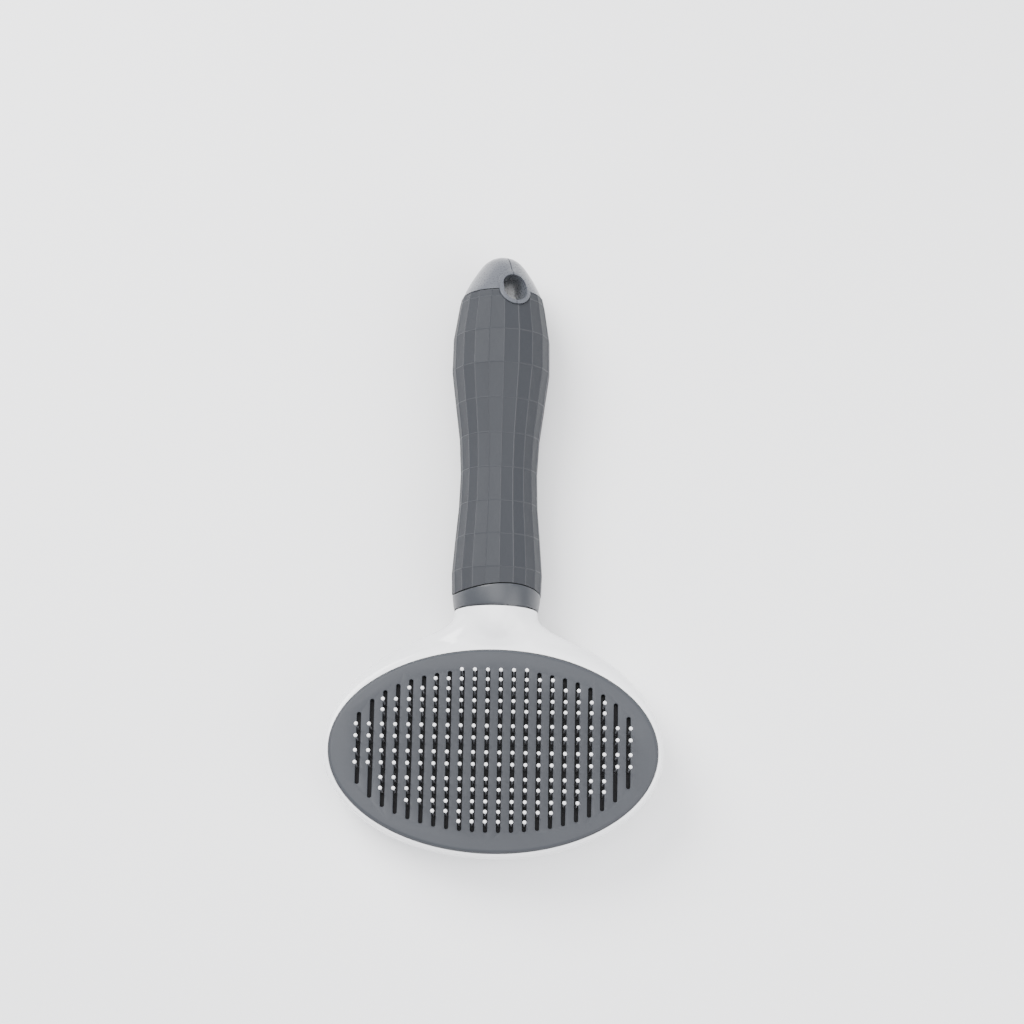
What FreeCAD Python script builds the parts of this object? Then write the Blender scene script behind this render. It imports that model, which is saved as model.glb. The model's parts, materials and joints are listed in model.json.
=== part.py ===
import FreeCAD, Part
import Sketcher
import math
import os
import re

# Self-cleaning pet brush, lying on its back.  +X right, +Y towards the handle's end, +Z the way
# the pins point.  The origin is on the back, under the middle of the oval head.  Millimetres.

os.makedirs("parts", exist_ok=True)
doc = FreeCAD.newDocument("BristleBrush")
Vec = FreeCAD.Vector

# ---------------------------------------------------------------- driving dimensions
SIZES = {
    # oval head: outline of the shell, and the heights in it
    "head_reach": 57.2,          # half width of the shell at its widest
    "chin_reach": 35.0,          # from the middle to the free end
    "shoulder_reach": 43.0,      # from the middle to the shoulder at the neck
    "rim_height": 27.0,          # top of the white rim
    "face_reach": 55.0,          # half width of the grey face plate
    "face_drop": 34.0,           # half height of the grey face plate
    "face_top": 28.0,
    "face_thick": 2.5,
    "face_edge": 1.5,            # rounding of the face plate's edge
    "seat_gap": 0.15,            # between the face plate and the rim round it
    "well_reach": 53.3,          # oval well that the carrier slides in
    "well_drop": 32.3,
    "slide_gap": 0.3,            # all round anything that slides in the head
    "back_reach": 49.15,         # oval opening in the back
    "back_drop": 28.15,
    "step_gap": 0.3,             # left under the carrier when the pins are in
    # bristles
    "pin_pitch": 4.284,          # column to column, and slot to slot
    "columns": 22,
    "wire_radius": 0.225,
    "wire_gap": 0.02,
    "bend_radius": 0.6,
    "tip_radius": 0.62,
    "tip_bore": 0.55,
    "pin_top": 42.5,             # top of the tips with the pins out
    "slot_width": 1.5,
    "slot_span": 48.8,           # half width of the slotted field
    "slot_drop": 27.3,           # half height of the slotted field
    "slot_power": 2.2,
    # rows of pins: distance from the middle line, and staples in the row
    "row_a": 2.4, "row_b": 6.3, "row_c": 11.1, "row_d": 14.6, "row_e": 18.4, "row_f": 21.7, "row_g": 24.9,
    "staples_a": 11, "staples_b": 11, "staples_c": 9, "staples_d": 9, "staples_e": 7, "staples_f": 5,
    "staples_g": 3,
    # carrier, backing plate and push pad
    "travel": 14.5,
    "carrier_gap": 0.6,          # between the carrier and the face plate, pins out
    "carrier_thick": 3.6,
    "backing_thick": 1.3,
    "backing_edge": 0.65,        # backing plate inside the push pad's outline, all round
    "crown_edge": 1.3,           # land round the hollow for the staple crowns
    "pad_floor": 2.2,
    "pad_wall": 1.8,
    "pad_edge": 1.0,
    "bolt_column": 34.272,
    "bolt_row": 8.7,
    "bolt_radius": 1.1,
    "bolt_head": 2.1,
    "bolt_head_thick": 1.4,
    "bolt_socket": 0.75,
    "bolt_gap": 0.15,
    "boss_radius": 2.4,
    "bolt_bite": 8.0,
    # return springs, with their posts and sleeves
    "spring_column": 17.136,
    "spring_row": 8.7,
    "post_radius": 0.9,
    "post_end": 10.2,
    "sleeve_radius": 2.1,
    "sleeve_bore": 1.6,
    "sleeve_end": 8.0,
    "sleeve_floor": 1.2,
    "spring_radius": 1.28,       # middle of the coil
    "spring_wire": 0.2,
    "spring_turns": 9,
    # neck and spigot
    "cut_over": 3.0,             # how far a cutting shape runs past what it cuts
    "axis_height": 17.3,
    "neck_radius": 14.2,
    "neck_middle": 47.0,
    "neck_end": 48.4,
    "spigot_radius": 9.8,
    "spigot_end": 76.0,
    "spigot_wall": 2.4,
    "spigot_gap": 0.1,
    # release button and latch
    "button_place": 41.0,
    "button_radius": 4.6,
    "button_low": 1.2,
    "button_top": 9.6,
    "button_rounding": 0.8,
    "flange_radius": 5.4,
    "flange_gap": 0.2,           # between the flange and the pocket's floor, button out
    "flange_thick": 1.2,
    "button_gap": 0.2,
    "latch_half": 6.2,
    "latch_low": 6.1,
    "latch_high": 25.0,
    "latch_near": 31.0,
    "latch_far": 47.2,
    "leaf_half": 3.5,
    "leaf_thick": 0.6,
    "leaf_gap": 0.05,            # between the leaf and the pocket's roof, and between leaf and screw
    "leaf_end_gap": 1.0,         # between the leaf's end and the pocket's far wall
    "leaf_screw_place": 43.0,
    "nose_reach": 30.6,          # the leaf's nose, under the carrier's rim
    "nose_flat": 4.0,            # length of the nose's upper flat
    "leaf_rise": 36.5,           # where the leaf turns down from the roof
    "leaf_foot_start": 35.0,     # the foot that rests on the button
    "leaf_foot_end": 42.0,
    "foot_gap": 0.1,
    # handle, measured along its own axis from the middle of the head
    "handle_turn": 19.0,         # how far it is turned about its axis against the head
    "collar_end": 48.6,
    "collar_radius": 14.35,
    "foot_place": 57.0, "foot_radius": 15.25,
    "taper_place": 75.0, "taper_radius": 14.15,
    "waist_place": 94.0, "waist_radius": 12.95,
    "swell_place": 115.0, "swell_radius": 14.3,
    "belly_place": 136.0, "belly_radius": 16.9,
    "shoulder_place": 150.0, "shoulder_radius": 16.0,
    "crown_place": 160.4, "crown_radius": 14.0,
    "crown_mid_place": 170.0, "crown_mid_radius": 8.9,
    "crown_end": 175.7,
    "grip_wall": 2.2,
    "grip_texture": 0.3,         # height of the soft grip's pattern over the handle's outline
    "grip_gap": 0.1,
    "arch_top": 55.9,            # where the collar reaches highest
    "arch_radius": 50.0,
    "arch_groove": 0.4,
    "core_wall": 1.9,
    "core_near": 80.0,
    "core_far": 150.0,
    "split_gap": 0.03,           # each half stops this short of the parting plane
    "hole_place": 161.2,
    "hole_radius": 4.2,
    "hole_straight": 1.0,        # half of the hole's straight sides
    "eyelet_wall": 1.4,
    "eyelet_proud": 0.6,
    "eyelet_gap": 0.25,
    "screw_low": 66.0,
    "screw_mid": 112.0,
    "screw_high": 144.0,
    "screw_radius": 1.3,
    "screw_head": 2.5,
    "screw_head_thick": 1.6,
    "screw_recess": 0.9,
    "screw_gap": 0.12,
    "screw_boss": 3.6,
    "screw_reach": 7.0,
}

# each level of the bowl: its share of the rim's height, and how far it is inside the widest outline
# at the sides, at the free end and at the shoulder
BOWL_LEVELS = ((0.0, 5.2, 4.0, 9.6), (0.11, 3.0, 2.0, 6.6), (0.3, 1.0, 0.6, 3.0), (0.6, 0.0, 0.0, 0.0),
               (0.82, 0.05, 0.0, 1.9), (1.0, 0.6, 0.1, 6.2))
# the shoulder's ovals: place before the neck's middle, and width and height as shares of the neck's radius
SHOULDER_FLARE = ((-11.0, 2.22, 0.72), (-8.0, 1.76, 0.78), (-5.0, 1.32, 0.87), (-2.0, 1.04, 0.96),
                  (1.5, 0.97, 0.97))
# directions in which the crown's curve leaves the handle's side and arrives at its end
CROWN_START = (-4, 0, 10)
CROWN_FINISH = (-12, 0, 0)

sheet = doc.addObject("Spreadsheet::Sheet", "Sizes")
for line, (alias, value) in enumerate(SIZES.items(), start=1):
    sheet.set("A%d" % line, alias.replace("_", " "))
    sheet.set("B%d" % line, repr(value))
    sheet.setAlias("B%d" % line, alias)
doc.recompute()

ROWS = "abcdefg"
MATH_WORDS = ("sqrt", "sin", "cos", "tan")


def size(alias):
    """The number in the sheet's cell of this name."""
    return float(sheet.get(alias))


def bound(text):
    """An expression in the sheet's names, as FreeCAD writes it."""
    def full(match):
        word = match.group(0)
        return word if word in MATH_WORDS else "Sizes." + word
    return re.sub(r"[a-z][a-z_]*", full, text)


def bind(thing, **places):
    """Binds properties of an object to expressions: a double underscore in a name is a dot."""
    for name, text in places.items():
        thing.setExpression(name.replace("__", "."), bound(text))


def number(text):
    return float(sheet.evalExpression(bound(text)))


# ---------------------------------------------------------------- builders
def new_body(label):
    body = doc.addObject("PartDesign::Body", label)
    body.Label = label
    return body


def origin_part(body, role):
    return [part for part in body.Origin.OriginFeatures if part.Role == role][0]


def new_sketch(body, name, role, offset="0"):
    sketch = body.newObject("Sketcher::SketchObject", name)
    sketch.AttachmentSupport = [(origin_part(body, role), "")]
    sketch.MapMode = "FlatFace"
    bind(sketch, AttachmentOffset__Base__z=offset)
    return sketch


def hold(sketch, kind, *where, text):
    """Adds a constraint whose value is an expression."""
    index = sketch.addConstraint(Sketcher.Constraint(kind, *where, number(text)))
    sketch.setExpression("Constraints[%d]" % index, bound(text))


def draw_oval(sketch, half_x, half_y):
    sketch.addGeometry(Part.Ellipse(Vec(), number(half_x), number(half_y)))
    sketch.exposeInternalGeometry(0)
    sketch.addConstraint(Sketcher.Constraint("Coincident", 0, 3, -1, 1))
    sketch.addConstraint(Sketcher.Constraint("Horizontal", 1))
    hold(sketch, "Distance", 1, text="2 * (%s)" % half_x)
    hold(sketch, "Distance", 2, text="2 * (%s)" % half_y)


def draw_circle(sketch, x, y, radius):
    index = sketch.addGeometry(Part.Circle(Vec(number(x), number(y)), Vec(0, 0, 1), number(radius)))
    hold(sketch, "DistanceX", index, 3, text=x)
    hold(sketch, "DistanceY", index, 3, text=y)
    hold(sketch, "Radius", index, text=radius)


def draw_outline(sketch, corners):
    """A closed outline of straight lines, each corner pinned by two expressions."""
    spots = [Vec(number(x), number(y)) for x, y in corners]
    first = len(sketch.Geometry)
    for index, spot in enumerate(spots):
        sketch.addGeometry(Part.LineSegment(spot, spots[(index + 1) % len(spots)]))
    for index, (x, y) in enumerate(corners):
        after = first + (index + 1) % len(corners)
        sketch.addConstraint(Sketcher.Constraint("Coincident", first + index, 2, after, 1))
        hold(sketch, "DistanceX", first + index, 1, text=x)
        hold(sketch, "DistanceY", first + index, 1, text=y)


def draw_slot(sketch, x, half, radius):
    """An upright slot with round ends: its centre line at x, its ends half the length away."""
    centre, reach, round_off = number(x), number(half), number(radius)
    up, down = Vec(centre, reach), Vec(centre, -reach)
    first = len(sketch.Geometry)
    axis = Vec(0, 0, 1)
    sketch.addGeometry(Part.ArcOfCircle(Part.Circle(up, axis, round_off), 0, math.pi))
    sketch.addGeometry(Part.ArcOfCircle(Part.Circle(down, axis, round_off), math.pi, 2 * math.pi))
    side = Vec(round_off, 0)
    sketch.addGeometry(Part.LineSegment(up - side, down - side))
    sketch.addGeometry(Part.LineSegment(down + side, up + side))
    joins = ((0, 2, 2, 1), (2, 2, 1, 1), (1, 2, 3, 1), (3, 2, 0, 1))
    for one, end, other, start in joins:
        sketch.addConstraint(Sketcher.Constraint("Tangent", first + one, end, first + other, start))
    for arc, sign in ((0, ""), (1, "-")):
        hold(sketch, "DistanceX", first + arc, 3, text=x)
        hold(sketch, "DistanceY", first + arc, 3, text="%s(%s)" % (sign, half))
        hold(sketch, "Radius", first + arc, text=radius)


def extrude(body, kind, sketch, name, length, down=False):
    feature = body.newObject("PartDesign::" + kind, name)
    feature.Profile = sketch
    feature.Reversed = down
    bind(feature, Length=length)
    sketch.Visibility = False
    return feature


def oval_plate(body, name, half_x, half_y, low, high, kind="Pad"):
    """An upright oval plate, or an oval pocket, between two heights."""
    sketch = new_sketch(body, name + "_outline", "XY_Plane", low)
    draw_oval(sketch, half_x, half_y)
    return extrude(body, kind, sketch, name, "(%s) - (%s)" % (high, low), down=(kind == "Pocket"))


def rod(body, name, x, y, low, high, radius, cut=False):
    """An upright cylinder that is added to a body or cut out of it."""
    kind = "PartDesign::SubtractiveCylinder" if cut else "PartDesign::AdditiveCylinder"
    cylinder = body.newObject(kind, name)
    bind(cylinder, Radius=radius, Height="(%s) - (%s)" % (high, low))
    cylinder.AttachmentSupport = [(origin_part(body, "XY_Plane"), "")]
    cylinder.MapMode = "FlatFace"
    bind(cylinder, AttachmentOffset__Base__x=x, AttachmentOffset__Base__y=y, AttachmentOffset__Base__z=low)
    return cylinder


def line_of(body, name, originals, length, count):
    """Repeats features along +X."""
    pattern = body.newObject("PartDesign::LinearPattern", name)
    pattern.Originals = originals
    pattern.Direction = (origin_part(body, "X_Axis"), [""])
    bind(pattern, Length=length, Occurrences=count)
    body.Tip = pattern
    return pattern


def four_corners(column, row):
    """The four places of a fastener or spring: expressions in x and y, and a short name."""
    for number_of, (across, along) in enumerate(((-1, 1), (1, 1), (-1, -1), (1, -1)), start=1):
        yield number_of, "%d * %s" % (across, column), "%d * %s" % (along, row)


def plain(label, shape):
    """An object whose shape is made below, where no sketched or primitive one fits."""
    thing = doc.addObject("Part::Feature", label)
    thing.Label = label
    thing.Shape = shape
    return thing


def combine(kind, label, *things):
    """Part::Cut, Part::Fuse or Part::Common of two objects, or a MultiFuse of more."""
    result = doc.addObject("Part::" + kind, label)
    result.Label = label
    if kind.startswith("Multi"):
        result.Shapes = list(things)
    else:
        result.Base, result.Tool = things
    return result


def primitive(kind, name, place=None, **places):
    thing = doc.addObject("Part::" + kind, name)
    if place is not None:
        thing.Placement = place
    bind(thing, **places)
    return thing


# ---------------------------------------------------------------- heights that follow
FACE_LOW = "face_top - face_thick"
CARRIER_TOP = "%s - carrier_gap" % FACE_LOW
CARRIER_LOW = "%s - carrier_gap - carrier_thick" % FACE_LOW
BACKING_LOW = "%s - backing_thick" % CARRIER_LOW
STEP_TOP = "%s - travel - step_gap" % CARRIER_LOW
PAD_REACH = "back_reach - slide_gap"
PAD_DROP = "back_drop - slide_gap"
BACKING_REACH = "%s - backing_edge + slide_gap" % PAD_REACH
BACKING_DROP = "%s - backing_edge + slide_gap" % PAD_DROP


# ---------------------------------------------------------------- bristles
def row_names():
    """(number, expression of the row's place, staples' cell) for the rows, from the neck side down."""
    near = [(number_of, "row_" + letter, "staples_" + letter)
            for number_of, letter in enumerate(reversed(ROWS), start=1)]
    far = [(len(ROWS) + number_of, "-row_" + letter, "staples_" + letter)
           for number_of, letter in enumerate(ROWS, start=1)]
    return near + far


def first_pin(staples):
    """Where a row's first pin stands: the row is centred on the head."""
    return "-(%s - 0.5) * pin_pitch" % staples


CROWN_LEVEL = "%s + wire_radius" % CARRIER_LOW
WIRE_TOP = "pin_top - 2 * tip_radius + tip_bore"


def bristle_row(number_of, place, staples):
    """Steel staples: two pins joined by a crown under the carrier."""
    body = new_body("bristle_row_%02d" % number_of)
    spine = new_sketch(body, "staple_path_%02d" % number_of, "XZ_Plane", "-(%s)" % place)
    start = first_pin(staples)
    left, right = number(start), number(start) + size("pin_pitch")
    low, high, bend = number(CROWN_LEVEL), number(WIRE_TOP), size("bend_radius")
    axis = Vec(0, 0, 1)
    spine.addGeometry(Part.LineSegment(Vec(left, high), Vec(left, low + bend)))
    corner = Part.Circle(Vec(left + bend, low + bend), axis, bend)
    spine.addGeometry(Part.ArcOfCircle(corner, math.pi, 1.5 * math.pi))
    spine.addGeometry(Part.LineSegment(Vec(left + bend, low), Vec(right - bend, low)))
    corner = Part.Circle(Vec(right - bend, low + bend), axis, bend)
    spine.addGeometry(Part.ArcOfCircle(corner, 1.5 * math.pi, 2 * math.pi))
    spine.addGeometry(Part.LineSegment(Vec(right, low + bend), Vec(right, high)))
    for one, end, other, begin in ((0, 2, 1, 1), (1, 2, 2, 1), (2, 2, 3, 1), (3, 2, 4, 1)):
        spine.addConstraint(Sketcher.Constraint("Tangent", one, end, other, begin))
    hold(spine, "DistanceX", 0, 1, text=start)
    hold(spine, "DistanceY", 0, 1, text=WIRE_TOP)
    hold(spine, "DistanceX", 4, 2, text="%s + pin_pitch" % start)
    hold(spine, "DistanceY", 4, 2, text=WIRE_TOP)
    hold(spine, "Radius", 1, text="bend_radius")
    hold(spine, "Radius", 3, text="bend_radius")
    spine.addConstraint(Sketcher.Constraint("Vertical", 0))
    spine.addConstraint(Sketcher.Constraint("Horizontal", 2))
    hold(spine, "DistanceY", 2, 1, text=CROWN_LEVEL)
    section = new_sketch(body, "staple_wire_%02d" % number_of, "XY_Plane", WIRE_TOP)
    draw_circle(section, start, place, "wire_radius")
    pipe = body.newObject("PartDesign::AdditivePipe", "staple_%02d" % number_of)
    pipe.Profile = section
    pipe.Spine = (spine, ["Edge%d" % (edge + 1) for edge in range(5)])
    spine.Visibility = False
    section.Visibility = False
    line_of(body, "staples_%02d" % number_of, [pipe], "(%s - 1) * 2 * pin_pitch" % staples, staples)
    return body


def tip_row(number_of, place, staples):
    """Round plastic tips, each on the end of a pin."""
    body = new_body("pin_tips_row_%02d" % number_of)
    ball = body.newObject("PartDesign::AdditiveSphere", "ball_%02d" % number_of)
    ball.AttachmentSupport = [(origin_part(body, "XY_Plane"), "")]
    ball.MapMode = "FlatFace"
    bind(ball, Radius="tip_radius")
    bind(ball, AttachmentOffset__Base__x=first_pin(staples), AttachmentOffset__Base__y=place,
         AttachmentOffset__Base__z="pin_top - tip_radius")
    bore = rod(body, "tip_bore_%02d" % number_of, first_pin(staples), place,
               "pin_top - 3 * tip_radius", WIRE_TOP, "wire_radius + wire_gap", cut=True)
    line_of(body, "tips_%02d" % number_of, [ball, bore], "(2 * %s - 1) * pin_pitch" % staples,
            "2 * %s" % staples)
    return body


# ---------------------------------------------------------------- what slides in the head
def make_pin_carrier():
    body = new_body("carrier_block")
    oval_plate(body, "carrier_plate", "well_reach - slide_gap", "well_drop - slide_gap",
               CARRIER_LOW, CARRIER_TOP)
    hollow = "%s + wire_radius + bend_radius + wire_gap" % CARRIER_LOW
    oval_plate(body, "crown_hollow", "%s - crown_edge" % BACKING_REACH, "%s - crown_edge" % BACKING_DROP,
               CARRIER_LOW, hollow, kind="Pocket")
    for spot, x, y in four_corners("spring_column", "spring_row"):
        rod(body, "sleeve_%d" % spot, x, y, "sleeve_end", CARRIER_TOP, "sleeve_radius")
        rod(body, "sleeve_bore_%d" % spot, x, y, "sleeve_end + sleeve_floor", "face_top", "sleeve_bore",
            cut=True)
    for spot, x, y in four_corners("bolt_column", "bolt_row"):
        rod(body, "bolt_boss_%d" % spot, x, y, CARRIER_LOW, CARRIER_TOP, "boss_radius - slide_gap")
        rod(body, "bolt_hole_%d" % spot, x, y, CARRIER_LOW, "face_top", "bolt_radius + bolt_gap", cut=True)
        rod(body, "bolt_seat_%d" % spot, x, y, "%s - bolt_head_thick - bolt_gap" % CARRIER_TOP, "face_top",
            "bolt_head + bolt_gap", cut=True)
    drills = []
    for _, place, staples in row_names():
        first, row = number(first_pin(staples)), number(place)
        for pin in range(2 * int(size(staples))):
            foot = Vec(first + pin * size("pin_pitch"), row, number(CARRIER_LOW))
            drills.append(Part.makeCylinder(size("wire_radius") + size("wire_gap"),
                                            2 * size("carrier_thick"), foot))
    combine("Cut", "pin_carrier", body, plain("pin_drills", Part.makeCompound(drills)))


def make_backing_plate():
    body = new_body("staple_backing_plate")
    oval_plate(body, "backing", BACKING_REACH, BACKING_DROP, BACKING_LOW, CARRIER_LOW)
    for spot, x, y in four_corners("spring_column", "spring_row"):
        rod(body, "sleeve_way_%d" % spot, x, y, "0", "face_top", "sleeve_radius + bolt_gap", cut=True)
    for spot, x, y in four_corners("bolt_column", "bolt_row"):
        rod(body, "bolt_way_%d" % spot, x, y, "0", "face_top", "bolt_radius + bolt_gap", cut=True)


def round_edges(body, name, feature, radius, chosen):
    """Rounds the edges of a body's last feature that a test picks out."""
    doc.recompute()
    edges = ["Edge%d" % (index + 1) for index, edge in enumerate(feature.Shape.Edges)
             if chosen(edge.BoundBox)]
    rounding = body.newObject("PartDesign::Fillet", name)
    rounding.Base = (feature, edges)
    bind(rounding, Radius=radius)
    return rounding


def make_push_pad():
    body = new_body("rear_push_pad")
    oval_plate(body, "pad_block", PAD_REACH, PAD_DROP, "0", BACKING_LOW)
    oval_plate(body, "pad_hollow", "%s - pad_wall" % PAD_REACH, "%s - pad_wall" % PAD_DROP,
               "pad_floor", BACKING_LOW, kind="Pocket")
    for spot, x, y in four_corners("bolt_column", "bolt_row"):
        rod(body, "pad_boss_%d" % spot, x, y, "pad_floor - pad_edge", BACKING_LOW, "boss_radius")
    for spot, x, y in four_corners("bolt_column", "bolt_row"):
        pilot = rod(body, "pad_pilot_%d" % spot, x, y, "%s - bolt_bite - bolt_gap" % BACKING_LOW,
                    BACKING_LOW, "bolt_radius + wire_gap", cut=True)
    round_edges(body, "pad_rounding", pilot, "pad_edge", lambda box: box.ZMax < size("pad_floor") / 2)


def make_carrier_bolts():
    body = new_body("carrier_bolts")
    low = "%s - bolt_bite" % BACKING_LOW
    seat = "%s - bolt_head_thick" % CARRIER_TOP
    for spot, x, y in four_corners("bolt_column", "bolt_row"):
        rod(body, "bolt_shank_%d" % spot, x, y, low, CARRIER_TOP, "bolt_radius")
        rod(body, "bolt_top_%d" % spot, x, y, seat, CARRIER_TOP, "bolt_head")
        rod(body, "bolt_socket_%d" % spot, x, y, "%s - bolt_head_thick / 2" % CARRIER_TOP, "face_top",
            "bolt_socket", cut=True)


def make_return_spring(spot, x, y):
    body = new_body("return_spring_%d" % spot)
    section = new_sketch(body, "spring_wire_%d" % spot, "XZ_Plane")
    seat = "sleeve_end + sleeve_floor + spring_wire"
    draw_circle(section, "spring_radius", seat, "spring_wire")
    helix = body.newObject("PartDesign::AdditiveHelix", "spring_coil_%d" % spot)
    helix.Profile = section
    helix.ReferenceAxis = (section, ["V_Axis"])
    helix.Mode = "height-turns-angle"
    bind(helix, Height="%s - spring_wire * 1.5 - (%s)" % (FACE_LOW, seat), Turns="spring_turns")
    section.Visibility = False
    bind(body, Placement__Base__x=x, Placement__Base__y=y)


# ---------------------------------------------------------------- face plate
def make_face_plate():
    body = new_body("face_plate")
    plate = oval_plate(body, "face_block", "face_reach", "face_drop", FACE_LOW, "face_top")
    round_edges(body, "face_rounding", plate, "face_edge", lambda box: box.ZMin > size("face_top") - 0.1)
    slots = new_sketch(body, "slot_outlines", "XY_Plane", FACE_LOW)
    for column in range(int(size("columns")) // 2):
        x = "%g * pin_pitch" % (column + 0.5)
        half = ("slot_drop * (1 - (%s / slot_span) ^ slot_power) ^ (1 / slot_power) - slot_width / 2" % x)
        draw_slot(slots, x, half, "slot_width / 2")
    cut = extrude(body, "Pocket", slots, "slots", "face_thick", down=True)
    other = body.newObject("PartDesign::Mirrored", "slots_mirrored")
    other.Originals = [cut]
    other.MirrorPlane = (origin_part(body, "YZ_Plane"), [""])
    body.Tip = other
    for spot, x, y in four_corners("spring_column", "spring_row"):
        rod(body, "spring_post_%d" % spot, x, y, "post_end", "%s + face_thick / 2" % FACE_LOW,
            "post_radius")


# ---------------------------------------------------------------- shell with neck
def oval_ring(reach, drop, rise, level):
    """A level outline of two half ovals that share their width: one for each end of the head."""
    near = Part.Ellipse(Vec(0, 0, level), reach, drop)
    far = Part.Ellipse(Vec(0, 0, level), reach, rise)
    return Part.Wire([Part.ArcOfEllipse(far, 0, math.pi).toShape(),
                      Part.ArcOfEllipse(near, math.pi, 2 * math.pi).toShape()])


def upright_oval(half_x, half_z, place):
    """An oval that stands across the handle's axis."""
    middle = Vec(0, place, size("axis_height"))
    oval = Part.Ellipse(middle + Vec(half_x, 0, 0), middle + Vec(0, 0, half_z), middle)
    return Part.Wire([oval.toShape()])


def make_head_shell():
    reach, drop, rise = size("head_reach"), size("chin_reach"), size("shoulder_reach")
    rim, axis, radius = size("rim_height"), size("axis_height"), size("neck_radius")
    rings = [oval_ring(reach - side, drop - chin, rise - neck, share * rim)
             for share, side, chin, neck in BOWL_LEVELS]
    bowl = plain("bowl_block", Part.makeLoft(rings, True, False))
    # the shoulder runs from the bowl into the round neck
    middle = size("neck_middle")
    ovals = [upright_oval(radius * wide, radius * tall, middle + along)
             for along, wide, tall in SHOULDER_FLARE]
    shoulder = plain("shoulder_block", Part.makeLoft(ovals, True, False))
    along_handle = FreeCAD.Rotation(Vec(1, 0, 0), -90)
    dome = primitive("Sphere", "neck_dome", Radius="neck_radius", Placement__Base__y="neck_middle",
                     Placement__Base__z="axis_height")
    neck = primitive("Cylinder", "neck_round", FreeCAD.Placement(Vec(), along_handle),
                     Radius="neck_radius", Height="neck_end - neck_middle", Placement__Base__y="neck_middle",
                     Placement__Base__z="axis_height")
    spigot = primitive("Cylinder", "spigot_round", FreeCAD.Placement(Vec(), along_handle),
                       Radius="spigot_radius", Height="spigot_end - neck_middle",
                       Placement__Base__y="neck_middle", Placement__Base__z="axis_height")
    solid = combine("MultiFuse", "shell_block", bowl, shoulder, neck, spigot, dome)
    dome_end = primitive("Box", "dome_end", Length="4 * neck_radius", Width="4 * neck_radius",
                         Height="4 * neck_radius", Placement__Base__x="-2 * neck_radius",
                         Placement__Base__y="neck_end", Placement__Base__z="axis_height - 2 * neck_radius")
    spigot_keep = primitive("Cylinder", "spigot_keep", FreeCAD.Placement(Vec(), along_handle),
                            Radius="spigot_radius", Height="4 * neck_radius", Placement__Base__y="neck_end",
                            Placement__Base__z="axis_height")
    beyond = combine("Cut", "beyond_neck", dome_end, spigot_keep)
    # everything that is hollow
    well = new_body("well_space")
    oval_plate(well, "well", "well_reach", "well_drop", STEP_TOP, "face_top")
    oval_plate(well, "seat", "face_reach + seat_gap", "face_drop + seat_gap", FACE_LOW, "face_top")
    oval_plate(well, "back_way", "back_reach", "back_drop", "-cut_over", "face_top")
    latch_box = primitive("Box", "latch_space", Length="2 * latch_half", Width="latch_far - latch_near",
                          Height="latch_high - latch_low", Placement__Base__x="-latch_half",
                          Placement__Base__y="latch_near", Placement__Base__z="latch_low")
    button_way = primitive("Cylinder", "button_way", Radius="button_radius + button_gap",
                           Height="latch_low + 2 * cut_over", Placement__Base__y="button_place",
                           Placement__Base__z="-cut_over")
    bore = primitive("Cylinder", "spigot_bore", FreeCAD.Placement(Vec(), along_handle),
                     Radius="spigot_radius - spigot_wall", Height="spigot_end",
                     Placement__Base__y="neck_end + spigot_wall", Placement__Base__z="axis_height")
    screw_turn = FreeCAD.Rotation(Vec(0, 1, 0), 90 + size("handle_turn"))
    screw_way = primitive("Cylinder", "spigot_screw_way", FreeCAD.Placement(Vec(), screw_turn),
                          Radius="screw_radius + screw_gap", Height="4 * neck_radius",
                          Placement__Base__x="-2 * neck_radius * cos(handle_turn)",
                          Placement__Base__y="screw_low",
                          Placement__Base__z="axis_height + 2 * neck_radius * sin(handle_turn)")
    leaf_pilot = primitive("Cylinder", "leaf_pilot", Radius="screw_radius - screw_gap",
                           Height="screw_radius * 4", Placement__Base__y="leaf_screw_place",
                           Placement__Base__z="latch_high - screw_radius")
    neck_hollow = combine("MultiFuse", "neck_hollow", latch_box, button_way, bore, screw_way, leaf_pilot)
    bowl_cut = combine("Cut", "shell_with_well", solid, well)
    # merging faces here spoils the next cut
    solid.Refine = False
    bowl_cut.Refine = False
    neck_cut = combine("Cut", "shell_with_ways", bowl_cut, neck_hollow)
    combine("Cut", "head_shell", neck_cut, beyond)


# ---------------------------------------------------------------- release button and its latch
def make_release_button():
    body = new_body("release_button")
    stem = rod(body, "button_stem", "0", "button_place", "button_low", "button_top", "button_radius")
    round_edges(body, "button_rounding", stem, "button_rounding",
                lambda box: box.ZMax < size("button_low") + 0.1)
    rod(body, "button_flange", "0", "button_place", "latch_low + flange_gap",
        "latch_low + flange_gap + flange_thick", "flange_radius")


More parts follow.
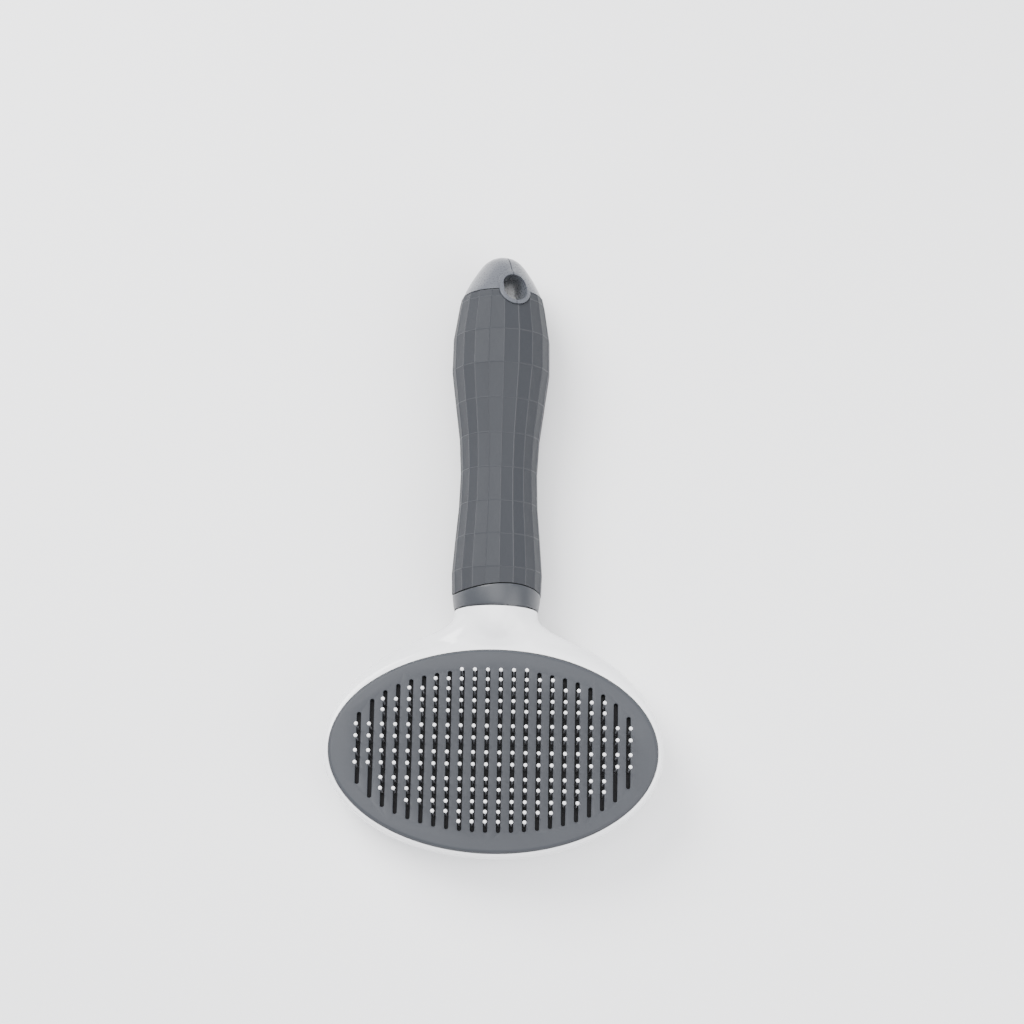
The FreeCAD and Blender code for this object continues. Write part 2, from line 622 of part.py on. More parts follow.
def make_latch_leaf():
    """A steel strip: screwed to the roof, with a nose under the carrier's rim and its foot on the button."""
    body = new_body("latch_leaf")
    roof = "latch_high - leaf_gap"
    nose = "%s - step_gap" % CARRIER_LOW
    foot = "button_top + foot_gap"
    end = "latch_far - leaf_end_gap"
    # down from the roof to the nose, down from the nose to the foot, and back along the other side
    corners = [(end, roof), ("leaf_rise", roof), ("nose_reach + nose_flat", nose),
               ("nose_reach", nose), ("nose_reach", "%s - leaf_thick" % nose),
               ("leaf_foot_start", foot), ("leaf_foot_end", foot),
               ("leaf_foot_end", "%s + leaf_thick" % foot),
               ("leaf_foot_start + leaf_thick", "%s + leaf_thick" % foot),
               ("nose_reach + 2 * leaf_thick", "%s - leaf_thick" % nose),
               ("nose_reach + nose_flat + leaf_thick", "%s - leaf_thick" % nose),
               ("leaf_rise + leaf_thick", "%s - leaf_thick" % roof), (end, "%s - leaf_thick" % roof)]
    outline = new_sketch(body, "leaf_outline", "YZ_Plane", "-leaf_half")
    draw_outline(outline, corners)
    extrude(body, "Pad", outline, "leaf_strip", "2 * leaf_half")
    rod(body, "leaf_hole", "0", "leaf_screw_place", "latch_high - cut_over", "latch_high + cut_over",
        "screw_radius + screw_gap", cut=True)


def make_latch_screw():
    body = new_body("latch_screw")
    under = "latch_high - leaf_thick - 2 * leaf_gap"
    rod(body, "latch_screw_shank", "0", "leaf_screw_place", under, "%s + screw_radius * 3" % under,
        "screw_radius - screw_gap - wire_gap")
    rod(body, "latch_screw_head", "0", "leaf_screw_place", "%s - screw_head_thick" % under, under,
        "screw_head")


# ---------------------------------------------------------------- handle
def handle_place():
    """The handle's own frame: its z runs along the handle, its -y is the side of the pins."""
    turn = FreeCAD.Rotation(Vec(0, 1, 0), size("handle_turn"))
    lay = FreeCAD.Rotation(Vec(1, 0, 0), -90)
    return FreeCAD.Placement(Vec(0, 0, size("axis_height")), turn * lay)


STATIONS = ("foot", "taper", "waist", "swell", "belly", "shoulder")
HALVINGS = 60


def side_curve(inside):
    """The handle's side from the collar to the crown, moved in by this much, as one smooth curve."""
    spots = [(size("collar_radius"), size("collar_end"))]
    spots += [(size(name + "_radius"), size(name + "_place")) for name in STATIONS]
    spots += [(size("crown_radius"), size("crown_place"))]
    curve = Part.BSplineCurve()
    curve.interpolate([Vec(radius - inside, 0, place) for radius, place in spots])
    return curve


def turned(edges):
    """A solid turned about the handle's axis from edges that start and end on it."""
    face = Part.Face(Part.Wire(Part.__sortEdges__(edges)))
    return face.revolve(Vec(), Vec(0, 0, 1), 360)


def straight(*spots):
    """Straight edges through (radius, place) points."""
    ends = [Vec(radius, 0, place) for radius, place in spots]
    return [Part.LineSegment(one, other).toShape() for one, other in zip(ends, ends[1:])]


def point_at(curve, place):
    """The side curve's parameter at a place along the handle, found by halving."""
    below, above = curve.FirstParameter, curve.LastParameter
    for _ in range(HALVINGS):
        middle = (below + above) / 2
        if curve.value(middle).z < place:
            below = middle
        else:
            above = middle
    return (below + above) / 2


def barrel(inside, low, high):
    """The turned handle between two places, moved in from its side by this much."""
    curve = side_curve(inside)
    start, end = point_at(curve, low), point_at(curve, high)
    side = curve.toShape(start, end)
    bottom, top = curve.value(start), curve.value(end)
    return turned([side] + straight((top.x, top.z), (0, top.z), (0, bottom.z), (bottom.x, bottom.z)))


def crown_dome(proud):
    """The rounded end of the handle."""
    place, end = size("crown_place"), size("crown_end")
    curve = Part.BSplineCurve()
    spots = [Vec(size("crown_radius") + proud, 0, place),
             Vec(size("crown_mid_radius") + proud, 0, size("crown_mid_place")), Vec(0, 0, end + proud)]
    curve.interpolate(spots, InitialTangent=Vec(*CROWN_START), FinalTangent=Vec(*CROWN_FINISH))
    return turned([curve.toShape()] + straight((0, end + proud), (0, place), (spots[0].x, place)))


def eyelet_prism(name, wall, half):
    """The long hole's outline, made bigger by a wall, as a prism across the handle."""
    body = new_body(name)
    outline = new_sketch(body, name + "_outline", "XZ_Plane", "-(%s)" % half)
    radius = "hole_radius + %s" % wall
    reach = "hole_straight"
    draw_slot(outline, "0", reach, radius)
    extrude(body, "Pad", outline, name + "_pad", "2 * (%s)" % half)
    bind(body, Placement__Base__z="hole_place")
    return body


def across(name, radius, place, low, high):
    """A cylinder across the handle, along the handle's own x."""
    return primitive("Cylinder", name, FreeCAD.Placement(Vec(), FreeCAD.Rotation(Vec(0, 1, 0), 90)),
                     Radius=radius, Height="(%s) - (%s)" % (high, low), Placement__Base__x=low,
                     Placement__Base__z=place)


def screw_seat(place):
    """How far out the head's underside sits, so that the head's rim stays under the soft grip."""
    curve, head = side_curve(0), size("screw_head")
    radius = min(curve.value(point_at(curve, place + step)).x for step in (-head, head))
    clear = radius - size("grip_wall") - size("screw_gap")
    return (clear * clear - head * head) ** 0.5 - size("screw_head_thick")


SCREWS = ("screw_low", "screw_mid", "screw_high")


def make_handle():
    wall, place = size("grip_wall"), size("crown_place")
    core = barrel(wall, size("collar_end"), place).fuse(crown_dome(0))
    ring_block = barrel(-size("eyelet_proud"), size("belly_place"), place)
    ring_block = ring_block.fuse(crown_dome(size("eyelet_proud")))
    core_block = plain("core_block", core.removeSplitter())
    ring_limit = plain("ring_limit", ring_block)
    ring_prism = eyelet_prism("eyelet_prism", "eyelet_wall", "2 * crown_radius")
    ring = combine("Common", "eyelet_ring", ring_limit, ring_prism)
    outer = combine("Fuse", "core_outer", core_block, ring)
    hole = eyelet_prism("hole_prism", "0", "2 * crown_radius")
    socket = primitive("Cylinder", "socket_space", Radius="spigot_radius + spigot_gap",
                       Height="spigot_end + spigot_wall - collar_end + cut_over",
                       Placement__Base__z="collar_end - cut_over")
    inside = plain("core_space", barrel(wall + size("core_wall"), size("core_near"), size("core_far")))
    bosses = [across("boss_" + name, "screw_boss", name, "-2 * neck_radius", "2 * neck_radius")
              for name in SCREWS[1:]]
    boss_set = combine("MultiFuse", "screw_bosses", *bosses)
    space = combine("Cut", "core_hollow", inside, boss_set)
    ways = []
    for name in SCREWS:
        seat = "-%g" % screw_seat(size(name))
        ways.append(across("way_" + name, "screw_radius + screw_gap", name, seat, "0"))
        ways.append(across("seat_" + name, "screw_head + screw_gap", name, "-2 * neck_radius", seat))
        ways.append(across("pilot_" + name, "screw_radius + wire_gap", name, "0",
                           "screw_reach + screw_gap"))
    cuts = combine("MultiFuse", "core_cuts", hole, socket, space, *ways)
    whole = combine("Cut", "core_whole", outer, cuts)
    for label, side in (("handle_half_left", -1), ("handle_half_right", 1)):
        box = primitive("Box", label + "_side", Length="4 * neck_radius", Width="8 * neck_radius",
                        Height="2 * crown_end",
                        Placement__Base__x="split_gap" if side > 0 else "-4 * neck_radius - split_gap",
                        Placement__Base__y="-4 * neck_radius")
        half = combine("Common", label, whole, box)
        half.Placement = handle_place()
    # screws that clamp the halves on each other and on the spigot
    shapes = []
    for name in SCREWS:
        seat = screw_seat(size(name))
        head = Part.makeCylinder(size("screw_head"), size("screw_head_thick"),
                                 Vec(-seat - size("screw_head_thick"), 0, size(name)), Vec(1, 0, 0))
        shank = Part.makeCylinder(size("screw_radius"), seat + size("screw_reach"),
                                  Vec(-seat, 0, size(name)), Vec(1, 0, 0))
        recess = Part.makeCylinder(size("screw_recess"), size("screw_head_thick") / 2,
                                   Vec(-seat - size("screw_head_thick"), 0, size(name)), Vec(1, 0, 0))
        shapes.append(head.fuse(shank).cut(recess).removeSplitter())
    screws = plain("handle_screws", Part.makeCompound(shapes))
    screws.Placement = handle_place()
    # soft grip and collar, parted by an arched groove
    sleeve_shape = barrel(-size("grip_texture"), size("collar_end"), place - size("grip_gap"))
    inner = barrel(wall, size("collar_end"), place)
    sleeve = plain("sleeve_block", sleeve_shape.cut(inner))
    band = plain("band_block", barrel(0, size("collar_end"), size("taper_place")).cut(inner))
    lay_down = FreeCAD.Placement(Vec(), FreeCAD.Rotation(Vec(1, 0, 0), 90))
    arch = primitive("Cylinder", "arch_round", lay_down, Radius="arch_radius", Height="8 * neck_radius",
                     Placement__Base__y="4 * neck_radius", Placement__Base__z="arch_top - arch_radius")
    arch_wide = primitive("Cylinder", "arch_wide", lay_down, Radius="arch_radius + arch_groove",
                          Height="8 * neck_radius", Placement__Base__y="4 * neck_radius",
                          Placement__Base__z="arch_top - arch_radius")
    collar = combine("Common", "handle_collar", band, arch)
    collar.Placement = handle_place()
    notch = eyelet_prism("grip_notch", "eyelet_wall + eyelet_gap", "2 * crown_radius")
    away = combine("Fuse", "grip_cuts", arch_wide, notch)
    grip = combine("Cut", "grip_sleeve", sleeve, away)
    grip.Placement = handle_place()


# ---------------------------------------------------------------- build, check and write
make_head_shell()
make_face_plate()
make_pin_carrier()
make_backing_plate()
make_push_pad()
make_carrier_bolts()
for spot_number, spot_x, spot_y in four_corners("spring_column", "spring_row"):
    make_return_spring(spot_number, spot_x, spot_y)
make_release_button()
make_latch_leaf()
make_latch_screw()
for row_number, row_place, row_staples in row_names():
    bristle_row(row_number, row_place, row_staples)
    tip_row(row_number, row_place, row_staples)
make_handle()
doc.recompute()

NODES = ["head_shell", "face_plate", "pin_carrier", "staple_backing_plate", "rear_push_pad",
         "carrier_bolts", "release_button", "latch_leaf", "latch_screw",
         "handle_half_left", "handle_half_right", "handle_screws", "handle_collar", "grip_sleeve"]
NODES += ["return_spring_%d" % spot_number for spot_number in range(1, 5)]
for row_number in range(1, 2 * len(ROWS) + 1):
    NODES += ["bristle_row_%02d" % row_number, "pin_tips_row_%02d" % row_number]

for thing in doc.Objects:
    if "Invalid" in thing.State or "Error" in thing.State:
        raise RuntimeError("%s did not build: %s" % (thing.Label, thing.State))
for node in NODES:
    made = doc.getObjectsByLabel(node)[0].Shape
    if made.isNull() or not made.isValid() or not made.Solids:
        raise RuntimeError("%s has no valid solid" % node)
for node in NODES:
    made = doc.getObjectsByLabel(node)[0].Shape
    made.exportStep("parts/%s.step" % node)
    box = made.BoundBox
    print("%-22s %3d solids %9.1f mm3  x %7.2f %7.2f  y %7.2f %7.2f  z %6.2f %6.2f" % (
        node, len(made.Solids), made.Volume, box.XMin, box.XMax, box.YMin, box.YMax, box.ZMin, box.ZMax))
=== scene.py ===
import json
import math

import bmesh
import bpy
from mathutils import Matrix, Vector


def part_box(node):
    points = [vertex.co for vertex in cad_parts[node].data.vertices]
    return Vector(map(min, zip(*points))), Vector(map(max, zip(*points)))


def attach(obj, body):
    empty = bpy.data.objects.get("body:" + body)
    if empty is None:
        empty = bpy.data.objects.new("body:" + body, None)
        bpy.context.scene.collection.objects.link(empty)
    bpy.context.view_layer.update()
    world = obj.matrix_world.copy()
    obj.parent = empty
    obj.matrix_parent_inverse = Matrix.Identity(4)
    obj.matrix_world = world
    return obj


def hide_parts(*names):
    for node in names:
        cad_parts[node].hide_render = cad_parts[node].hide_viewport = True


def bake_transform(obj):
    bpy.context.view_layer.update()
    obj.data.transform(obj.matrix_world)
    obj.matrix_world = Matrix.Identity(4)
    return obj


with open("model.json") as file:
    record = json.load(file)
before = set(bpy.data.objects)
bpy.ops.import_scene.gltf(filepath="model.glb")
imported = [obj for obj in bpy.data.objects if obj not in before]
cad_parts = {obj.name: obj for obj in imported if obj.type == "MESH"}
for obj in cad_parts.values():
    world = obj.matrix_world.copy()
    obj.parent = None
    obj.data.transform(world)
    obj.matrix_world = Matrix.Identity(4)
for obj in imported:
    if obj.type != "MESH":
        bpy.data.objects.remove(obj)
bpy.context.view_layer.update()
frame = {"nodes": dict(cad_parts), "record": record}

MM = 0.001
NODES = frame["nodes"]


# ------------------------------------------------------------------ camera
def set_up_camera():
    """Looks down on the bristles from over the free end of the head."""
    tilt = math.radians(77.0)
    roll = math.radians(1.1)
    ahead = Vector((0.0, math.cos(tilt), -math.sin(tilt)))
    side = Vector((1.0, 0.0, 0.0))
    up = Vector((0.0, math.sin(tilt), math.cos(tilt)))
    right = side * math.cos(roll) + up * math.sin(roll)
    top = up * math.cos(roll) - side * math.sin(roll)
    lens = bpy.data.cameras.new("brush_camera")
    lens.lens = 80.16
    lens.sensor_width = 36.0
    lens.clip_start = 0.01
    lens.clip_end = 20.0
    camera = bpy.data.objects.new("brush_camera", lens)
    bpy.context.scene.collection.objects.link(camera)
    turn = Matrix((right, top, -ahead)).transposed().to_4x4()
    camera.matrix_world = Matrix.Translation(Vector((4.76, -93.21, 784.47)) * MM) @ turn
    bpy.context.scene.camera = camera


set_up_camera()


# ------------------------------------------------------------------ finishes
def group_sockets(group, inputs, outputs):
    for name, kind, value in inputs:
        socket = group.interface.new_socket(name=name, in_out="INPUT", socket_type=kind)
        socket.default_value = value
    for name, kind in outputs:
        group.interface.new_socket(name=name, in_out="OUTPUT", socket_type=kind)


def moulded_surface():
    """Colour drift, fine mould grain and handling scuffs of an injection-moulded part."""
    group = bpy.data.node_groups.new("moulded_surface", "ShaderNodeTree")
    group_sockets(group, [
        ("Colour", "NodeSocketColor", (0.5, 0.5, 0.5, 1.0)),
        ("Drift", "NodeSocketFloat", 0.05),
        ("Grain Size", "NodeSocketFloat", 1500.0),
        ("Rough", "NodeSocketFloat", 0.4),
        ("Rough Spread", "NodeSocketFloat", 0.1),
        ("Scuffs", "NodeSocketFloat", 0.1),
    ], [("Colour", "NodeSocketColor"), ("Roughness", "NodeSocketFloat"), ("Height", "NodeSocketFloat")])
    nodes, links = group.nodes, group.links
    given = nodes.new("NodeGroupInput")
    out = nodes.new("NodeGroupOutput")
    place = nodes.new("ShaderNodeTexCoord")

    drift = nodes.new("ShaderNodeTexNoise")
    drift.inputs["Scale"].default_value = 38.0
    drift.inputs["Detail"].default_value = 3.0
    links.new(place.outputs["Object"], drift.inputs["Vector"])
    grain = nodes.new("ShaderNodeTexNoise")
    grain.inputs["Detail"].default_value = 2.0
    links.new(place.outputs["Object"], grain.inputs["Vector"])
    links.new(given.outputs["Grain Size"], grain.inputs["Scale"])
    stretch = nodes.new("ShaderNodeMapping")
    stretch.inputs["Rotation"].default_value = (0.4, 0.3, 0.7)
    stretch.inputs["Scale"].default_value = (1.0, 9.0, 1.0)
    links.new(place.outputs["Object"], stretch.inputs["Vector"])
    scuff = nodes.new("ShaderNodeTexNoise")
    scuff.inputs["Scale"].default_value = 120.0
    scuff.inputs["Detail"].default_value = 5.0
    scuff.inputs["Roughness"].default_value = 0.65
    links.new(stretch.outputs["Vector"], scuff.inputs["Vector"])
    scuff_mask = nodes.new("ShaderNodeMapRange")
    scuff_mask.inputs["From Min"].default_value = 0.6
    scuff_mask.inputs["From Max"].default_value = 0.72
    links.new(scuff.outputs["Fac"], scuff_mask.inputs["Value"])
    scuffs = nodes.new("ShaderNodeMath")
    scuffs.operation = "MULTIPLY"
    links.new(scuff_mask.outputs["Result"], scuffs.inputs[0])
    links.new(given.outputs["Scuffs"], scuffs.inputs[1])

    # brightness: 1 + drift * (noise - 0.5) * 2 + scuffs * 0.35
    spread = nodes.new("ShaderNodeMath")
    spread.operation = "MULTIPLY_ADD"
    spread.inputs[1].default_value = 2.0
    spread.inputs[2].default_value = -1.0
    links.new(drift.outputs["Fac"], spread.inputs[0])
    wander = nodes.new("ShaderNodeMath")
    wander.operation = "MULTIPLY_ADD"
    wander.inputs[2].default_value = 1.0
    links.new(spread.outputs["Value"], wander.inputs[0])
    links.new(given.outputs["Drift"], wander.inputs[1])
    lighten = nodes.new("ShaderNodeMath")
    lighten.operation = "MULTIPLY_ADD"
    lighten.inputs[1].default_value = 0.35
    links.new(scuffs.outputs["Value"], lighten.inputs[0])
    links.new(wander.outputs["Value"], lighten.inputs[2])
    tone = nodes.new("ShaderNodeVectorMath")
    tone.operation = "SCALE"
    links.new(given.outputs["Colour"], tone.inputs[0])
    links.new(lighten.outputs["Value"], tone.inputs["Scale"])
    links.new(tone.outputs["Vector"], out.inputs["Colour"])

    # roughness: base, spread by the grain, more where scuffed
    rough = nodes.new("ShaderNodeMath")
    rough.operation = "MULTIPLY_ADD"
    links.new(grain.outputs["Fac"], rough.inputs[0])
    links.new(given.outputs["Rough Spread"], rough.inputs[1])
    links.new(given.outputs["Rough"], rough.inputs[2])
    rougher = nodes.new("ShaderNodeMath")
    rougher.operation = "ADD"
    rougher.use_clamp = True
    links.new(rough.outputs["Value"], rougher.inputs[0])
    links.new(scuffs.outputs["Value"], rougher.inputs[1])
    links.new(rougher.outputs["Value"], out.inputs["Roughness"])
    links.new(grain.outputs["Fac"], out.inputs["Height"])
    return group


def drawn_steel():
    """Fine drawing marks and a little heat tint on wire and sheet steel."""
    group = bpy.data.node_groups.new("drawn_steel", "ShaderNodeTree")
    group_sockets(group, [
        ("Colour", "NodeSocketColor", (0.6, 0.6, 0.62, 1.0)),
        ("Rough", "NodeSocketFloat", 0.25),
        ("Marks", "NodeSocketFloat", 0.15),
    ], [("Colour", "NodeSocketColor"), ("Roughness", "NodeSocketFloat"), ("Height", "NodeSocketFloat")])
    nodes, links = group.nodes, group.links
    given = nodes.new("NodeGroupInput")
    out = nodes.new("NodeGroupOutput")
    place = nodes.new("ShaderNodeTexCoord")
    along = nodes.new("ShaderNodeMapping")
    along.inputs["Scale"].default_value = (1.0, 1.0, 0.08)
    links.new(place.outputs["Object"], along.inputs["Vector"])
    marks = nodes.new("ShaderNodeTexNoise")
    marks.inputs["Scale"].default_value = 6000.0
    marks.inputs["Detail"].default_value = 3.0
    links.new(along.outputs["Vector"], marks.inputs["Vector"])
    patch = nodes.new("ShaderNodeTexNoise")
    patch.inputs["Scale"].default_value = 160.0
    links.new(place.outputs["Object"], patch.inputs["Vector"])
    rough = nodes.new("ShaderNodeMath")
    rough.operation = "MULTIPLY_ADD"
    links.new(marks.outputs["Fac"], rough.inputs[0])
    links.new(given.outputs["Marks"], rough.inputs[1])
    links.new(given.outputs["Rough"], rough.inputs[2])
    links.new(rough.outputs["Value"], out.inputs["Roughness"])
    share = nodes.new("ShaderNodeMapRange")
    share.inputs["To Min"].default_value = 0.82
    share.inputs["To Max"].default_value = 1.1
    links.new(patch.outputs["Fac"], share.inputs["Value"])
    tone = nodes.new("ShaderNodeVectorMath")
    tone.operation = "SCALE"
    links.new(given.outputs["Colour"], tone.inputs[0])
    links.new(share.outputs["Result"], tone.inputs["Scale"])
    links.new(tone.outputs["Vector"], out.inputs["Colour"])
    links.new(marks.outputs["Fac"], out.inputs["Height"])
    return group


MOULDED = moulded_surface()
STEEL = drawn_steel()


def finish(name, group, bump, bump_depth, settings, **shader):
    """A material: the group's colour, roughness and height in a Principled shader."""
    material = bpy.data.materials.new(name)
    material.use_nodes = True
    nodes, links = material.node_tree.nodes, material.node_tree.links
    shell = nodes["Principled BSDF"]
    surface = nodes.new("ShaderNodeGroup")
    surface.node_tree = group
    for socket, value in settings.items():
        surface.inputs[socket].default_value = value
    links.new(surface.outputs["Colour"], shell.inputs["Base Color"])
    links.new(surface.outputs["Roughness"], shell.inputs["Roughness"])
    relief = nodes.new("ShaderNodeBump")
    relief.inputs["Strength"].default_value = bump
    relief.inputs["Distance"].default_value = bump_depth
    links.new(surface.outputs["Height"], relief.inputs["Height"])
    links.new(relief.outputs["Normal"], shell.inputs["Normal"])
    for socket, value in shader.items():
        shell.inputs[socket.replace("_", " ")].default_value = value
    return material


def plastic(name, colour, drift=0.04, grain=1500.0, rough=0.35, spread=0.1, scuffs=0.05, bump=0.2,
            depth=0.00002, **shader):
    return finish(name, MOULDED, bump, depth, {
        "Colour": (*colour, 1.0), "Drift": drift, "Grain Size": grain, "Rough": rough,
        "Rough Spread": spread, "Scuffs": scuffs}, **shader)


FINISHES = {
    "white_shell": plastic("glossy_white_shell", (0.84, 0.845, 0.86), drift=0.02, rough=0.16, spread=0.08,
                           bump=0.05, Coat_Weight=0.3, Coat_Roughness=0.08),
    "face_grey": plastic("satin_grey_face", (0.038, 0.041, 0.0475), drift=0.05, rough=0.48, bump=0.25,
                         Specular_IOR_Level=0.3),
    "carrier_black": plastic("black_pin_carrier", (0.008, 0.0085, 0.01), rough=0.5, bump=0.3,
                             Specular_IOR_Level=0.2),
    "pad_grey": plastic("push_pad_grey", (0.045, 0.048, 0.055), grain=2200.0, rough=0.5, bump=0.5,
                        Specular_IOR_Level=0.3),
    "button_grey": plastic("button_grey", (0.042, 0.045, 0.052), rough=0.36, bump=0.2,
                           Specular_IOR_Level=0.35),
    "handle_grey": plastic("polished_crown_grey", (0.072, 0.077, 0.089), drift=0.03, rough=0.24, spread=0.08,
                           bump=0.06, Coat_Weight=0.25, Coat_Roughness=0.12),
    "soft_grip": plastic("soft_grip_rubber", (0.026, 0.028, 0.0325), drift=0.05, grain=2600.0, rough=0.5,
                         spread=0.14, scuffs=0.08, bump=0.35, Specular_IOR_Level=0.22),
    # rib rubber a little lighter than the panels: a painted highlight along the raised ribs
    "grip_rib": plastic("grip_rib_painted_highlight", (0.030, 0.032, 0.037), drift=0.05, grain=2600.0, rough=0.42,
                        spread=0.12, scuffs=0.1, bump=0.25, Specular_IOR_Level=0.24),
    "collar_grey": plastic("satin_collar_grey", (0.036, 0.039, 0.045), drift=0.03, rough=0.3, spread=0.1,
                           bump=0.1, Specular_IOR_Level=0.35),
    "tip_white": plastic("white_pin_tips", (0.86, 0.86, 0.87), drift=0.01, rough=0.25, bump=0.05),
    "screw_steel": finish("plated_screws", STEEL, 0.1, 0.00001, {
        "Colour": (0.55, 0.55, 0.56, 1.0), "Rough": 0.25, "Marks": 0.2}, Metallic=1.0),
    "black_steel": finish("blackened_bolts", STEEL, 0.1, 0.00001, {
        "Colour": (0.03, 0.03, 0.032, 1.0), "Rough": 0.45, "Marks": 0.2}, Metallic=0.6),
    "spring_steel": finish("spring_wire", STEEL, 0.1, 0.00001, {
        "Colour": (0.48, 0.47, 0.46, 1.0), "Rough": 0.28, "Marks": 0.2}, Metallic=1.0),
    "bristle_steel": finish("bristle_wire", STEEL, 0.1, 0.00001, {
        "Colour": (0.62, 0.63, 0.65, 1.0), "Rough": 0.22, "Marks": 0.18}, Metallic=1.0),
}


def dress_cad_nodes():
    """Every CAD node takes the finish of its material slot."""
    for part in frame["record"]["subparts"]:
        for place in NODES[part["node"]].material_slots:
            place.material = FINISHES[part["material_slot"]]


dress_cad_nodes()


# ------------------------------------------------------------------ bench tools
TURN = math.radians(19.0)
AXIS = 17.3 * MM
# millimetres from here on
HOLE_PLACE = 161.2
HOLE_RADIUS = 4.2
HOLE_STRAIGHT = 1.0
COLLAR_ARCH_TOP = 55.9
COLLAR_ARCH_RADIUS = 50.0
HALF_GAP = 0.12
CROWN_COLUMNS = 128
PIN_PITCH = 4.284
SLOTS = 22
SLOT_RADIUS = 0.75
SLOT_FIELD = (48.8, 27.3)
SLOT_POWER = 2.2
FACE_HALF = (55.0, 34.0)
SPRING_COLUMN = 17.136
SPRING_ROW = 8.7
NECK_RADIUS = 14.2
NECK_MIDDLE = 47.0
BUTTON_PLACE = 41.0
PAD_HALF = (48.85, 27.85)
TINY = 0.0001


def fresh():
    """Nothing is chosen and no piece is open."""
    if bpy.context.object and bpy.context.object.mode != "OBJECT":
        bpy.ops.object.mode_set(mode="OBJECT")
    bpy.ops.object.select_all(action="DESELECT")


def named(name):
    piece = bpy.context.object
    piece.name = name
    piece.data.name = name
    return piece


def hold(piece):
    fresh()
    piece.select_set(True)
    bpy.context.view_layer.objects.active = piece


def open_piece(piece):
    hold(piece)
    bpy.ops.object.mode_set(mode="EDIT")


def close_piece():
    bpy.ops.object.mode_set(mode="OBJECT")


def choose(piece, test, kind="FACE"):
    """Chooses the faces, edges or corners of the open piece whose middle passes the test."""
    bpy.ops.mesh.select_mode(type=kind)
    bpy.ops.mesh.select_all(action="DESELECT")
    work = bmesh.from_edit_mesh(piece.data)
    if kind == "FACE":
        for face in work.faces:
            face.select_set(test(face))
    elif kind == "EDGE":
        for edge in work.edges:
            edge.select_set(test(edge))
    else:
        for corner in work.verts:
            corner.select_set(test(corner))
    work.select_flush_mode()
    bmesh.update_edit_mesh(piece.data)


def middle(part):
    return sum((corner.co for corner in part.verts), Vector()) / len(part.verts)


def ring_up(rings):
    """Extrudes the chosen ring through stations in millimetres: (height, radius) or (height, wide, deep)."""
    for low, high in zip(rings, rings[1:]):
        rise = (0.0, 0.0, (high[0] - low[0]) * MM)
        bpy.ops.mesh.extrude_region_move(TRANSFORM_OT_translate={"value": rise})
        bpy.ops.transform.resize(value=(high[1] / low[1], high[-1] / low[-1], 1.0),
                                 center_override=(0.0, 0.0, high[0] * MM))


def turned_piece(name, rings, corners, ends=True):
    """A round piece standing on its axis, from a circle raised ring by ring."""
    fresh()
    bpy.ops.mesh.primitive_circle_add(vertices=corners, radius=rings[0][1] * MM,
                                      location=(0.0, 0.0, rings[0][0] * MM),
                                      fill_type="NGON" if ends else "NOTHING")
    piece = named(name)
    bpy.ops.object.transform_apply(location=True)
    bpy.ops.object.mode_set(mode="EDIT")
    bpy.ops.mesh.select_all(action="SELECT")
    bpy.ops.transform.resize(value=(1.0, rings[0][-1] / rings[0][1], 1.0), center_override=(0.0, 0.0, 0.0))
    ring_up(rings)
    bpy.ops.mesh.select_all(action="SELECT")
    bpy.ops.mesh.remove_doubles(threshold=0.000002)
    bpy.ops.mesh.normals_make_consistent(inside=False)
    close_piece()
    return piece


def lay_on_handle(piece, turn=TURN):
    """Lays a piece that stands on its axis along the handle, turned as the handle is."""
    across = Vector((math.cos(turn), 0.0, -math.sin(turn)))
    back = Vector((-math.sin(turn), 0.0, -math.cos(turn)))
    along = Vector((0.0, 1.0, 0.0))
    hold(piece)
    stand = Matrix((across, back, along)).transposed().to_4x4()
    piece.matrix_world = Matrix.Translation((0.0, 0.0, AXIS)) @ stand
    bpy.ops.object.transform_apply(location=True, rotation=True, scale=True)


def stand_across(piece, place, turn=TURN):
    """Puts a piece that stands upright across the handle, at this place along it."""
    hold(piece)
    piece.matrix_world = Matrix.Translation((0.0, place * MM, AXIS)) @ Matrix.Rotation(turn, 4, "Y")
    bpy.ops.object.transform_apply(location=True, rotation=True, scale=True)


def put_on(piece, kind, **settings):
    """Adds a modifier and applies it."""
    hold(piece)
    added = piece.modifiers.new(kind.lower(), kind)
    for setting, value in settings.items():
        setattr(added, setting, value)
    bpy.ops.object.modifier_apply(modifier=added.name)


def carve(piece, tool, operation="DIFFERENCE"):
    """Cuts, joins or crosses a piece with a tool, which is used up."""
    put_on(piece, "BOOLEAN", operation=operation, object=tool, solver="EXACT")
    bpy.data.objects.remove(tool, do_unlink=True)


def twin(piece, name):
    """A copy with its own mesh."""
    other = piece.copy()
    other.data = piece.data.copy()
    other.name = name
    other.data.name = name
    bpy.context.scene.collection.objects.link(other)
    return other


def smooth(piece, angle):
    hold(piece)
    bpy.ops.object.shade_smooth_by_angle(angle=math.radians(angle))


def ease_edges(piece, width, steps=2, angle=50.0):
    put_on(piece, "BEVEL", width=width * MM, segments=steps, limit_method="ANGLE",
           angle_limit=math.radians(angle), use_clamp_overlap=True, miter_outer="MITER_SHARP")


def fit_out(piece, body, slot, *nodes, finish_name=None):
    """Gives a piece its finish, the body that it rides on and the nodes that it stands for."""
    if not piece.data.materials:
        piece.data.materials.append(FINISHES[finish_name or slot])
    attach(piece, body)
    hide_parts(*nodes)


